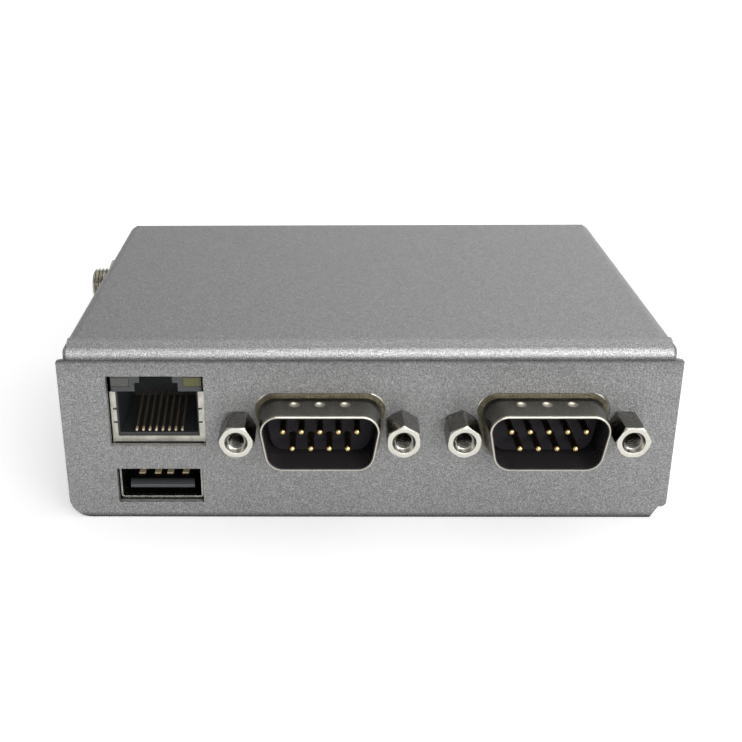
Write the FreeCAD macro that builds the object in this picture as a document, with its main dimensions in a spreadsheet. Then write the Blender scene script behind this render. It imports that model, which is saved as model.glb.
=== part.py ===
import FreeCAD, Part
import math
import os
import Sketcher

# Fanless industrial PC: a folded sheet cover closed by a base plate, a board carried on
# standoffs, two D-sub serial ports, an Ethernet socket and a USB socket in the front panel,
# an antenna connector in the left wall and a power inlet in the rear.
# Frame: +X right as seen from the front, the front panel faces -Y, +Z up.
# Origin: the centre of the case, on the plane it stands on. Millimetres.

sizes = {
    # case
    "panel_width": 94.2, "case_width": 92.4, "case_depth": 60.0, "case_height": 30.0,
    "sheet": 1.0, "bend_outer": 2.0, "front_bend": 2.6, "seam": 0.15, "wall_lift": 1.95,
    "bend_inset": 0.7, "rear_bend_inset": 1.4, "corner_relief": 0.3, "ear_drop": 0.3,
    "panel_corner": 3.4,
    "shoulder_width": 1.2, "shoulder_lift": 1.95, "shoulder_round": 0.9, "shoulder_slant": 1.2,
    "rear_corner": 2.0,
    "base_wall": 9.0, "case_screw_lift": 5.8, "case_screw_spacing": 40.0, "case_screw_length": 3.0,
    # screws
    "screw_shank": 1.25, "screw_gap": 0.05, "screw_hole": 1.6, "screw_head": 2.3,
    "screw_head_tall": 1.5, "slot_width": 0.7, "slot_depth": 0.7,
    # board
    "board_lift": 8.6, "board_thick": 1.6, "board_left": 43.3, "board_right": 43.3,
    "board_front_gap": 0.95, "board_rear": 1.5, "standoff_flats": 5.0,
    # board holes: to each side of the middle, and in from the outer face of each panel
    "hole_left": 40.0, "hole_left_front": 27.0, "hole_left_rear": 6.0,
    "hole_right": 40.0, "hole_right_front": 10.0, "hole_right_rear": 6.0,
    "board_screw_length": 5.0,
    # serial ports
    "com_one_x": -7.3, "com_two_x": 26.7, "com_lift": 16.4, "jack_spacing": 24.99,
    "flange_width": 30.8, "flange_tall": 12.5, "flange_thick": 0.8, "flange_corner": 2.2,
    "flange_hole": 1.55, "flange_rim": 1.2, "root_half": 9.45, "root_rise": 4.85,
    "rim_half": 8.86, "rim_rise": 4.58,
    "shell_wall": 0.4, "shell_reach": 5.85, "shell_round": 2.7,
    # a side leans in by the slope; the lean is how far its sharp corner stands past its round
    "side_slope": 0.176, "corner_lean": 0.191, "root_round": 0.6, "rim_round": 0.15,
    "cutout_half": 10.1, "cutout_rise": 5.5, "cutout_round": 2.9,
    "dimple_spacing": 3.8, "dimple_radius": 1.1, "dimple_depth": 0.3, "dimple_reach": 2.2,
    "plug_face": 0.3, "plug_gap": 0.15, "block_half": 9.0, "block_rise": 5.3, "block_depth": 10.0,
    "pin_radius": 0.5, "pin_recess": 0.9, "pin_pitch": 2.77, "row_pitch": 2.84,
    "pin_gap": 0.05, "low_row_run": 1.4, "row_step": 2.2,
    # jackscrews
    "hex_flats": 4.8, "hex_reach": 5.4, "hex_face": 0.9, "hex_chamfer": 0.28,
    "jack_bore": 1.2, "jack_bore_depth": 4.6, "jack_sink": 1.72, "jack_sink_depth": 0.55,
    "stud_radius": 1.4, "stud_length": 5.0, "nut_flats": 5.5, "nut_thick": 2.2,
    # Ethernet socket
    "lan_x": -32.4, "lan_half": 7.25, "lan_top": 24.35, "lan_setback": 0.25, "lan_depth": 20.0,
    "lan_sheet": 0.25, "lan_gap": 0.05, "lan_open_half": 6.33, "lan_open_low": 13.9,
    "lan_open_top": 21.55, "lan_frame_low": 12.92, "lan_cutout_half": 7.4,
    "lan_cutout_low": 12.75, "lan_cutout_top": 24.75, "lan_floor": 14.4, "lan_cavity_half": 6.1,
    "lan_cavity_depth": 13.0, "latch_half": 3.33, "latch_top": 23.05, "latch_slot_half": 2.52,
    "led_wide": 2.75, "led_low": 22.47, "led_tall": 1.4, "led_long": 6.0, "led_gap": 0.05, "lan_notch": 3.0,
    "slit_tall": 0.3, "slit_deep": 0.55, "slit_high": 18.6, "slit_low": 16.3,
    "wire_radius": 0.22, "wire_pitch": 1.016, "wire_front": 0.6, "wire_run": 7.5, "wire_rise": 3.0,
    # USB socket
    "usb_x": -32.5, "usb_half": 6.55, "usb_tall": 5.72, "usb_sheet": 0.3, "usb_depth": 14.0,
    "usb_setback": 0.1, "usb_cut_gap": 0.18, "usb_round": 0.6,
    "tongue_half": 5.1, "tongue_thick": 1.84, "tongue_lift": 0.65, "tongue_setback": 0.8,
    "tongue_root": 3.0, "tongue_chamfer": 0.5, "tongue_gap": 0.05,
    "usb_strip": 1.0, "usb_strip_thick": 0.2, "usb_strip_setback": 2.6, "usb_inner_pitch": 2.0,
    "usb_outer_pitch": 7.0,
    # antenna connector
    "sma_y": 10.0, "sma_lift": 20.6, "sma_thread": 3.15, "sma_free": 3.25, "sma_neck": 2.9,
    "sma_reach": 5.95, "sma_bore": 2.3,
    "sma_bore_depth": 4.95, "sma_hole": 3.25, "sma_flange": 4.4, "sma_flange_thick": 1.5,
    "sma_tail": 2.0, "sma_tail_length": 4.5, "sma_core": 2.05, "sma_core_face": 1.9,
    "sma_contact": 0.64, "sma_socket": 0.47, "washer_thick": 0.5, "washer_radius": 4.4,
    "sma_nut_flats": 8.5, "sma_nut_thick": 2.1, "thread_gap": 0.1,
    "lead_radius": 0.6, "lead_run": 4.0, "lead_bend": 4.0, "plug_radius": 1.3, "plug_tall": 2.4,
    # power inlet
    "inlet_x": 30.0, "inlet_half": 4.5, "inlet_tall": 11.0, "inlet_depth": 14.0,
    "inlet_axis_lift": 6.5, "inlet_bore": 3.2, "inlet_bore_depth": 10.0, "inlet_pin": 1.0,
    "inlet_pin_recess": 1.0, "inlet_cut_gap": 0.15, "inlet_spring": 0.3, "inlet_spring_half": 0.9,
    "inlet_spring_length": 7.0,
    # parts on the board
    "cpu_x": 7.0, "cpu_y": 3.0, "cpu_side": 17.0, "cpu_tall": 1.4, "pad_thick": 0.5,
    "spreader_wide": 32.0, "spreader_deep": 22.0,
    "memory_x": 31.0, "memory_y": 2.5, "memory_wide": 10.0, "memory_deep": 7.5,
    "memory_tall": 1.1, "memory_spacing": 9.5,
    "flash_x": -14.0, "flash_y": 22.5, "flash_wide": 5.2, "flash_deep": 4.0, "flash_tall": 1.7,
    "lan_chip_x": -33.0, "lan_chip_y": -2.0, "lan_chip_side": 7.0, "lan_chip_tall": 0.9,
    "driver_y": 3.2, "driver_wide": 9.8, "driver_deep": 3.8, "driver_tall": 1.6,
    "coil_x": 6.5, "coil_y": 20.0, "coil_side": 7.0, "coil_tall": 3.2, "coil_spacing": 9.0,
    "can_x": 19.0, "can_y": 20.5, "can_radius": 3.15, "can_tall": 5.8, "can_spacing": 25.0,
    "cell_x": -18.5, "cell_y": -1.5, "cell_radius": 6.2, "cell_tall": 2.0, "holder_rim": 0.7,
    "holder_floor": 0.6, "holder_gap": 0.1,
    "radio_x": -33.0, "radio_y": 8.5, "radio_wide": 13.0, "radio_deep": 10.0, "radio_tall": 2.2,
    # room that a cutting shape takes beyond the piece that it cuts
    "over": 1.0,
}

doc = FreeCAD.newDocument("fanless_pc")
sheet_object = doc.addObject("Spreadsheet::Sheet", "Sizes")
for row, (alias, number) in enumerate(sizes.items(), 1):
    sheet_object.set("A%d" % row, alias)
    sheet_object.set("B%d" % row, str(number))
    sheet_object.setAlias("B%d" % row, alias)
doc.recompute()


class Length:
    """A size that keeps both its number and the sheet expression that gives it."""

    def __init__(self, number, text=None):
        self.number = float(number)
        self.text = text or repr(float(number))

    @staticmethod
    def of(value):
        return value if isinstance(value, Length) else Length(value)

    def joined(self, other, sign, number):
        return Length(number, "(%s %s %s)" % (self.text, sign, other.text))

    def __add__(self, other):
        other = Length.of(other)
        return self.joined(other, "+", self.number + other.number)

    def __sub__(self, other):
        other = Length.of(other)
        return self.joined(other, "-", self.number - other.number)

    def __mul__(self, other):
        other = Length.of(other)
        return self.joined(other, "*", self.number * other.number)

    def __truediv__(self, other):
        other = Length.of(other)
        return self.joined(other, "/", self.number / other.number)

    def __radd__(self, other):
        return Length.of(other) + self

    def __rsub__(self, other):
        return Length.of(other) - self

    def __rmul__(self, other):
        return Length.of(other) * self

    def __neg__(self):
        return Length(-self.number, "(-%s)" % self.text)


class Sheet:
    """The sheet's sizes as Lengths: size.panel_width and so on."""

    def __getattr__(self, alias):
        return Length(sheet_object.get(alias), "Sizes.%s" % alias)


size = Sheet()
hex_corner = 1 / math.sqrt(3)  # corner radius of a hexagon over its width across flats
nodes = []                     # the finished sub-parts, in the order they are made


# ---- helpers -------------------------------------------------------------------------------

def bind(item, **lengths):
    """Binds properties to sizes; a double underscore stands for a dot."""
    for name, length in lengths.items():
        item.setExpression(name.replace("__", "."), Length.of(length).text)
    return item


def place(item, x, y, z, rotation=None):
    if rotation is not None:
        item.Placement = FreeCAD.Placement(FreeCAD.Vector(0, 0, 0), rotation)
    return bind(item, Placement__Base__x=x, Placement__Base__y=y, Placement__Base__z=z)


def turn(axis, degrees):
    return FreeCAD.Rotation(FreeCAD.Vector(*axis), degrees)


facing = {  # the way a cylinder, cone or prism grows from its base
    "+z": turn((0, 0, 1), 0), "-z": turn((1, 0, 0), 180), "+x": turn((0, 1, 0), 90),
    "-x": turn((0, 1, 0), -90), "+y": turn((1, 0, 0), -90), "-y": turn((1, 0, 0), 90),
}


def block(name, x, y, z):
    """A box between two values on each axis."""
    box = doc.addObject("Part::Box", name)
    bind(box, Length=x[1] - x[0], Width=y[1] - y[0], Height=z[1] - z[0])
    return place(box, x[0], y[0], z[0])


def rod(name, start, way, radius, length):
    cylinder = bind(doc.addObject("Part::Cylinder", name), Radius=radius, Height=length)
    return place(cylinder, *start, facing[way])


def cone(name, start, way, radius, end_radius, length):
    taper = bind(doc.addObject("Part::Cone", name), Radius1=radius, Radius2=end_radius,
                 Height=length)
    return place(taper, *start, facing[way])


def ball(name, centre, radius):
    return place(bind(doc.addObject("Part::Sphere", name), Radius=radius), *centre)


def hexagon(name, start, way, flats, length, roll=0):
    prism = doc.addObject("Part::Prism", name)
    prism.Polygon = 6
    bind(prism, Circumradius=flats * hex_corner, Height=length)
    return place(prism, *start, facing[way].multiply(turn((0, 0, 1), roll)))


def fuse(name, items):
    joined = doc.addObject("Part::MultiFuse", name)
    joined.Shapes = items
    return joined


def cut(name, base, tools):
    removed = doc.addObject("Part::Cut", name)
    removed.Base = base
    removed.Tool = tools[0] if len(tools) == 1 else fuse(name + "_tools", tools)
    return removed


def common(name, first, second):
    shared = doc.addObject("Part::MultiCommon", name)
    shared.Shapes = [first, second]
    return shared


def node(item, label):
    """Names a finished sub-part; its label is the name of its file."""
    item.Label = label
    nodes.append(item)
    return item


def group(label, items):
    """Like pieces, each a solid of its own, under one name."""
    compound = doc.addObject("Part::Compound", label + "_set")
    compound.Links = items
    return node(compound, label)


def new_body(name):
    return doc.addObject("PartDesign::Body", name)


planes = {"x": "YZ_Plane", "y": "XZ_Plane", "z": "XY_Plane"}


def sketch(body, name, axis, where):
    """An empty sketch across an axis. The plane across Y looks to -Y, so its offset turns."""
    drawing = body.newObject("Sketcher::SketchObject", name)
    support = [part for part in body.Origin.OriginFeatures if part.Role == planes[axis]][0]
    drawing.AttachmentSupport = [(support, "")]
    drawing.MapMode = "FlatFace"
    return bind(drawing, AttachmentOffset__Base__z=-where if axis == "y" else where)


def dimension(drawing, kind, geometry, point, length):
    length = Length.of(length)
    constraint = Sketcher.Constraint(kind, -1, 1, geometry, point, length.number)
    drawing.setExpression("Constraints[%d]" % drawing.addConstraint(constraint), length.text)


def draw_loop(drawing, points):
    """A closed outline of straight lines, every corner dimensioned from the origin."""
    points = [(Length.of(u), Length.of(v)) for u, v in points]
    first = drawing.GeometryCount
    count = len(points)
    corners = [FreeCAD.Vector(u.number, v.number, 0) for u, v in points]
    for step in range(count):
        drawing.addGeometry(Part.LineSegment(corners[step], corners[(step + 1) % count]))
    for step in range(count):
        after = first + (step + 1) % count
        drawing.addConstraint(Sketcher.Constraint("Coincident", first + step, 2, after, 1))
        dimension(drawing, "DistanceX", first + step, 1, points[step][0])
        dimension(drawing, "DistanceY", first + step, 1, points[step][1])


def draw_circle(drawing, u, v, radius):
    u, v, radius = Length.of(u), Length.of(v), Length.of(radius)
    centre = FreeCAD.Vector(u.number, v.number, 0)
    circle = drawing.addGeometry(Part.Circle(centre, FreeCAD.Vector(0, 0, 1), radius.number))
    dimension(drawing, "DistanceX", circle, 3, u)
    dimension(drawing, "DistanceY", circle, 3, v)
    limit = drawing.addConstraint(Sketcher.Constraint("Radius", circle, radius.number))
    drawing.setExpression("Constraints[%d]" % limit, radius.text)


def slab(body, kind, name, axis, low, high, loops=(), circles=()):
    """A Pad or a Pocket of flat outlines along an axis, from low to high."""
    drawing = sketch(body, name + "_outline", axis, high if axis == "y" else low)
    for points in loops:
        draw_loop(drawing, points)
    for circle in circles:
        draw_circle(drawing, *circle)
    before = body.Shape.Volume if kind == "Pocket" else 0
    feature = body.newObject("PartDesign::" + kind, name)
    feature.Profile = drawing
    bind(feature, Length=Length.of(high) - low)
    feature.Reversed = kind == "Pocket"
    doc.recompute()
    if kind == "Pocket" and feature.Shape.Volume > before - 1e-6:
        raise RuntimeError(name + " cuts nothing")
    return feature


def rectangle(low_u, high_u, low_v, high_v):
    return [(low_u, low_v), (high_u, low_v), (high_u, high_v), (low_u, high_v)]


def trapezoid(x, z, half, rise, radius):
    """The D outline before its corners are rounded by the radius. The upper side is the wide
    one, and the rounded outline reaches the half width."""
    wide = half + radius * size.corner_lean
    narrow = wide - 2 * rise * size.side_slope
    return [(x - narrow, z - rise), (x + narrow, z - rise), (x + wide, z + rise),
            (x - wide, z + rise)]


def round_edges(body, name, radius, test, kind="Fillet"):
    """Rounds or chamfers the edges of the body's last feature that pass the test."""
    base = body.Tip
    names = ["Edge%d" % number for number, edge in enumerate(base.Shape.Edges, 1) if test(edge)]
    if not names:
        raise RuntimeError(name + " found no edges")
    feature = body.newObject("PartDesign::" + kind, name)
    feature.Base = (base, names)
    bind(feature, **{"Radius" if kind == "Fillet" else "Size": radius})
    doc.recompute()
    return feature


def runs_along(edge, axis, x=None, y=None, z=None):
    """True for a straight edge along an axis whose middle is at the given place."""
    box = edge.BoundBox
    spans = {"x": box.XLength, "y": box.YLength, "z": box.ZLength}
    across = sum(span for name, span in spans.items() if name != axis)
    if spans[axis] < 0.01 or across > 0.01:
        return False
    centre = box.Center
    wanted = ((x, centre.x), (y, centre.y), (z, centre.z))
    return all(want is None or abs(Length.of(want).number - got) < 0.02 for want, got in wanted)


# ---- places shared by several pieces -------------------------------------------------------

front = -size.case_depth / 2               # outer face of the front panel
rear = size.case_depth / 2                 # outer face of the rear panel
panel_back = front + size.sheet
case_half = size.case_width / 2
panel_half = size.panel_width / 2
wall_inner = case_half - size.sheet
roof_under = size.case_height - size.sheet
board_top = size.board_lift + size.board_thick
ports = {"com1": size.com_one_x, "com2": size.com_two_x}
jack_places = [x + side * size.jack_spacing / 2 for x in ports.values() for side in (-1, 1)]
jack_rolls = (0, 30, 24, 0)                # each jackscrew stops at its own turn
usb_z = size.board_lift - size.usb_tall / 2 - 0.02
inlet_z = board_top + size.inlet_axis_lift
screw_ys = [side * size.case_screw_spacing / 2 for side in (-1, 1)]
board_holes = [(-size.hole_left, front + size.hole_left_front),
               (-size.hole_left, rear - size.hole_left_rear),
               (size.hole_right, front + size.hole_right_front),
               (size.hole_right, rear - size.hole_right_rear)]
antenna_y = rear - size.sma_y
pins_turn = panel_back + size.flange_thick + size.block_depth + size.low_row_run + size.row_step


# ---- case ----------------------------------------------------------------------------------

def quarter_bend(body, name, outer, y_centre, side, half):
    """The bend from the roof to a panel, a quarter of a ring, across the case."""
    inner = outer - size.sheet
    bend_centre = size.case_height - outer
    drawing = sketch(body, name + "_outline", "x", -half)
    centre = FreeCAD.Vector(y_centre.number, bend_centre.number, 0)
    start, stop = (0, math.pi / 2) if side > 0 else (math.pi / 2, math.pi)
    for radius in (outer, inner):
        circle = Part.Circle(centre, FreeCAD.Vector(0, 0, 1), radius.number)
        drawing.addGeometry(Part.ArcOfCircle(circle, start, stop))
    flat, upright = (1, 2) if side > 0 else (2, 1)   # arc ends on the panel and on the roof
    reach = {name: [centre + FreeCAD.Vector(*way) * radius.number
                    for radius in (outer, inner)]
             for name, way in (("panel", (side, 0, 0)), ("roof", (0, 1, 0)))}
    drawing.addGeometry(Part.LineSegment(*reach["panel"]))
    drawing.addGeometry(Part.LineSegment(*reach["roof"]))
    for line, end in ((2, flat), (3, upright)):
        drawing.addConstraint(Sketcher.Constraint("Coincident", line, 1, 0, end))
        drawing.addConstraint(Sketcher.Constraint("Coincident", line, 2, 1, end))
    drawing.addConstraint(Sketcher.Constraint("Coincident", 0, 3, 1, 3))
    for arc, radius in ((0, outer), (1, inner)):
        limit = drawing.addConstraint(Sketcher.Constraint("Radius", arc, radius.number))
        drawing.setExpression("Constraints[%d]" % limit, radius.text)
    dimension(drawing, "DistanceX", 0, 3, y_centre)
    dimension(drawing, "DistanceY", 0, 3, bend_centre)
    drawing.addConstraint(Sketcher.Constraint("Horizontal", 2))
    dimension(drawing, "DistanceY", 2, 1, bend_centre)
    drawing.addConstraint(Sketcher.Constraint("Vertical", 3))
    dimension(drawing, "DistanceX", 3, 1, y_centre)
    feature = body.newObject("PartDesign::Pad", name)
    feature.Profile = drawing
    bind(feature, Length=2 * half)
    doc.recompute()


def build_cover():
    body = new_body("cover_body")
    wall_end = size.case_depth / 2 - size.sheet - size.seam
    bend_half = case_half - size.bend_inset
    rear_bend_half = case_half - size.rear_bend_inset
    front_start = size.case_height - size.front_bend
    rear_start = size.case_height - size.bend_outer
    over = size.over
    # roof and side walls are one U
    slab(body, "Pad", "roof_and_walls", "y", -wall_end, wall_end, [[
        (-case_half, size.wall_lift), (-case_half, size.case_height),
        (case_half, size.case_height), (case_half, size.wall_lift),
        (wall_inner, size.wall_lift), (wall_inner, roof_under),
        (-wall_inner, roof_under), (-wall_inner, size.wall_lift)]])
    round_edges(body, "outer_folds", size.bend_outer,
                lambda edge: runs_along(edge, "y", z=size.case_height))
    round_edges(body, "inner_folds", size.bend_outer - size.sheet,
                lambda edge: runs_along(edge, "y", z=roof_under))
    # the U makes room for the cross bends, and in front its walls run on beside the bend
    front_relief = bend_half + size.seam
    slab(body, "Pocket", "front_relief", "x", -front_relief, front_relief, [
        rectangle(front - over, front + size.front_bend, front_start - size.corner_relief,
                  size.case_height + over)])
    slab(body, "Pocket", "rear_relief", "x", -case_half - over, case_half + over, [
        rectangle(rear - size.bend_outer, rear + over, rear_start - size.corner_relief,
                  size.case_height + over)])
    quarter_bend(body, "front_bend", size.front_bend, front + size.front_bend, -1, bend_half)
    quarter_bend(body, "rear_bend", size.bend_outer, rear - size.bend_outer, 1, rear_bend_half)
    # front panel, wider than the case, with a small shoulder at its lower right corner
    shoulder_x = panel_half - size.shoulder_width
    front_ear = front_start - size.ear_drop
    rear_ear = rear_start - size.ear_drop
    slab(body, "Pad", "front_panel", "y", front, panel_back, [[
        (-panel_half, 0), (-panel_half, front_ear), (-bend_half, front_start),
        (bend_half, front_start), (panel_half, front_ear), (panel_half, size.shoulder_lift),
        (shoulder_x, size.shoulder_lift), (shoulder_x - size.shoulder_slant, 0)]])
    round_edges(body, "panel_corner_round", size.panel_corner,
                lambda edge: runs_along(edge, "y", x=-panel_half, z=0))
    round_edges(body, "shoulder_rounding", size.shoulder_round,
                lambda edge: runs_along(edge, "y", x=panel_half, z=size.shoulder_lift))
    slab(body, "Pad", "rear_panel", "y", rear - size.sheet, rear, [[
        (-case_half, 0), (-case_half, rear_ear), (-rear_bend_half, rear_start),
        (rear_bend_half, rear_start), (case_half, rear_ear), (case_half, 0)]])
    round_edges(body, "rear_corners", size.rear_corner,
                lambda edge: runs_along(edge, "y", y=rear - size.sheet / 2, z=0))
    # openings of the front panel
    usb_out = size.usb_half + size.usb_cut_gap
    usb_rise = size.usb_tall / 2 + size.usb_cut_gap
    serial_openings = [trapezoid(x, size.com_lift, size.cutout_half, size.cutout_rise,
                                 size.cutout_round) for x in ports.values()]
    slab(body, "Pocket", "port_openings", "y", front - over, panel_back + size.seam / 2, [
        rectangle(size.lan_x - size.lan_cutout_half, size.lan_x + size.lan_cutout_half,
                  size.lan_cutout_low, size.lan_cutout_top),
        rectangle(size.usb_x - usb_out, size.usb_x + usb_out, usb_z - usb_rise, usb_z + usb_rise)]
        + serial_openings,
        [(x, size.com_lift, size.screw_hole) for x in jack_places])
    round_edges(body, "serial_opening_rounds", size.cutout_round,
                lambda edge: any(runs_along(edge, "y", x=x, z=z)
                                 for corners in serial_openings for x, z in corners))
    inlet_out = size.inlet_half + size.inlet_cut_gap
    slab(body, "Pocket", "inlet_opening", "y", rear - size.sheet - size.seam / 2, rear + over, [
        rectangle(size.inlet_x - inlet_out, size.inlet_x + inlet_out,
                  board_top - size.inlet_cut_gap,
                  board_top + size.inlet_tall + size.inlet_cut_gap)])
    slab(body, "Pocket", "case_screw_holes", "x", -case_half - over, case_half + over,
         circles=[(y, size.case_screw_lift, size.screw_hole) for y in screw_ys])
    slab(body, "Pocket", "antenna_hole", "x", -case_half - over, -wall_inner + size.seam / 2,
         circles=[(antenna_y, size.sma_lift, size.sma_hole)])
    node(body, "cover")


def build_base():
    body = new_body("base_body")
    outer = wall_inner - size.seam
    inner = outer - size.sheet
    end = size.case_depth / 2 - size.sheet - size.seam
    over = size.over
    slab(body, "Pad", "floor_and_sides", "y", -end, end, [[
        (-outer, 0), (outer, 0), (outer, size.base_wall), (inner, size.base_wall),
        (inner, size.sheet), (-inner, size.sheet), (-inner, size.base_wall),
        (-outer, size.base_wall)]])
    round_edges(body, "base_outer_folds", size.bend_outer,
                lambda edge: runs_along(edge, "y", z=0))
    round_edges(body, "base_inner_folds", size.bend_outer - size.sheet,
                lambda edge: runs_along(edge, "y", z=size.sheet))
    slab(body, "Pocket", "base_screw_holes", "x", -case_half - over, case_half + over,
         circles=[(y, size.case_screw_lift, size.screw_shank + size.screw_gap)
                  for y in screw_ys])
    node(body, "base_plate")


def screw(name, seat, way, length):
    """A slotted cheese-head screw; its seat is the face that the head rests on."""
    opposite = ("-" if way[0] == "+" else "+") + way[1]
    head = rod(name + "_head", seat, opposite, size.screw_head, size.screw_head_tall)
    shank = rod(name + "_shank", seat, way, size.screw_shank, length)
    reach = size.screw_head + size.over
    half = size.slot_width / 2
    x, y, z = (Length.of(value) for value in seat)
    sign = -1 if way[0] == "+" else 1
    top = size.screw_head_tall * sign
    bottom = top - size.slot_depth * sign
    end = top + size.over * sign
    low, high = (bottom, end) if sign > 0 else (end, bottom)
    if way[1] == "x":
        slot = block(name + "_slot", (x + low, x + high), (y - reach, y + reach),
                     (z - half, z + half))
    else:
        slot = block(name + "_slot", (x - reach, x + reach), (y - half, y + half),
                     (z + low, z + high))
    return cut(name, fuse(name + "_blank", [head, shank]), [slot])


def build_fasteners():
    screws = []
    for side, way in ((-1, "+x"), (1, "-x")):
        for number, y in enumerate(screw_ys):
            name = "case_screw_%s_%d" % ("left" if side < 0 else "right", number)
            screws.append(screw(name, (side * case_half, y, size.case_screw_lift), way,
                                size.case_screw_length))
    group("case_screws", screws)
    standoffs, board_screws = [], []
    for number, (x, y) in enumerate(board_holes):
        pillar = hexagon("pillar_%d" % number, (x, y, size.sheet), "+z", size.standoff_flats,
                         size.board_lift - size.sheet)
        bore = rod("pillar_bore_%d" % number, (x, y, size.board_lift + size.over), "-z",
                   size.screw_shank + size.screw_gap, size.board_screw_length + size.over)
        standoffs.append(cut("standoff_%d" % number, pillar, [bore]))
        board_screws.append(screw("board_screw_%d" % number, (x, y, board_top), "-z",
                                  size.board_screw_length))
    group("board_standoffs", standoffs)
    group("board_screws", board_screws)


# ---- board and what is soldered to it ------------------------------------------------------

def build_board():
    body = new_body("board_body")
    y_front = panel_back + size.board_front_gap
    y_rear = rear - size.sheet - size.board_rear
    slab(body, "Pad", "board_slab", "z", size.board_lift, board_top,
         [rectangle(-size.board_left, size.board_right, y_front, y_rear)],
         [(x, y, size.screw_hole) for x, y in board_holes])
    node(body, "main_board")


def chip(name, x, y, wide, deep, tall, low=None):
    low = board_top if low is None else low
    return block(name, (x - wide / 2, x + wide / 2), (y - deep / 2, y + deep / 2),
                 (low, low + tall))


def build_board_parts():
    node(chip("processor_block", size.cpu_x, size.cpu_y, size.cpu_side, size.cpu_side,
              size.cpu_tall), "processor")
    pad_low = board_top + size.cpu_tall
    node(chip("processor_pad_block", size.cpu_x, size.cpu_y, size.cpu_side, size.cpu_side,
              size.pad_thick, pad_low), "processor_pad")
    spreader_low = pad_low + size.pad_thick
    spreader_top = roof_under - size.pad_thick
    node(chip("spreader_block", size.cpu_x, size.cpu_y, size.spreader_wide, size.spreader_deep,
              spreader_top - spreader_low, spreader_low), "heat_spreader")
    node(chip("cover_pad_block", size.cpu_x, size.cpu_y, size.spreader_wide, size.spreader_deep,
              size.pad_thick, spreader_top), "cover_pad")
    group("memory_chips", [
        chip("memory_%d" % number, size.memory_x, size.memory_y + side * size.memory_spacing / 2,
             size.memory_wide, size.memory_deep, size.memory_tall)
        for number, side in enumerate((-1, 1))])
    node(chip("flash_block", size.flash_x, size.flash_y, size.flash_wide, size.flash_deep,
              size.flash_tall), "flash_chip")
    node(chip("lan_chip_block", size.lan_chip_x, size.lan_chip_y, size.lan_chip_side,
              size.lan_chip_side, size.lan_chip_tall), "lan_controller")
    group("serial_transceivers", [
        chip("driver_" + name, x, pins_turn + size.driver_y, size.driver_wide,
             size.driver_deep, size.driver_tall) for name, x in ports.items()])
    group("power_inductors", [
        chip("coil_%d" % number, size.coil_x + side * size.coil_spacing / 2, size.coil_y,
             size.coil_side, size.coil_side, size.coil_tall)
        for number, side in enumerate((-1, 1))])
    group("power_capacitors", [
        rod("can_%d" % number, (size.can_x - number * size.can_spacing, size.can_y, board_top),
            "+z", size.can_radius, size.can_tall) for number in range(2)])
    node(chip("radio_block", size.radio_x, antenna_y - size.radio_y, size.radio_wide,
              size.radio_deep, size.radio_tall), "wireless_module")
    outer = size.cell_radius + size.holder_gap + size.holder_rim
    centre = (size.cell_x, size.cell_y)
    tray = rod("holder_blank", (*centre, board_top), "+z", outer,
               size.holder_floor + size.cell_tall)
    well = rod("holder_well", (*centre, board_top + size.holder_floor), "+z",
               size.cell_radius + size.holder_gap, size.cell_tall + size.over)
    node(cut("holder", tray, [well]), "coin_cell_holder")
    node(rod("cell", (*centre, board_top + size.holder_floor), "+z", size.cell_radius,
             size.cell_tall), "coin_cell")


# ---- serial ports --------------------------------------------------------------------------

def d_loft(body, name, x, sections, radius, subtract=False):
    """A loft between two D outlines, each given as its place along Y, half width and rise."""
    drawings = []
    for number, (y, half, rise) in enumerate(sections):
        drawing = sketch(body, "%s_outline_%d" % (name, number), "y", y)
        draw_loop(drawing, trapezoid(x, size.com_lift, half, rise, radius))
        drawings.append(drawing)
    kind = "SubtractiveLoft" if subtract else "AdditiveLoft"
    feature = body.newObject("PartDesign::" + kind, name)
    feature.Profile = drawings[0]
    feature.Sections = [(drawings[1], [""])]
    feature.Ruled = True
    doc.recompute()
    return feature


def tube_edge(edge, y_low, y_high):
    """True for an edge that runs the whole way between two places along Y."""
    box = edge.BoundBox
    return abs(box.YMin - y_low.number) < 0.02 and abs(box.YMax - y_high.number) < 0.02


def outline_edge(edge, y, x, half):
    """True for an edge of a D outline in the plane across Y, no wider than the half width."""
    box = edge.BoundBox
    spread = max(abs(box.XMin - x.number), abs(box.XMax - x.number))
    return box.YLength < 0.01 and abs(box.YMin - y.number) < 0.01 and spread < half.number + 0.05


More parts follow.
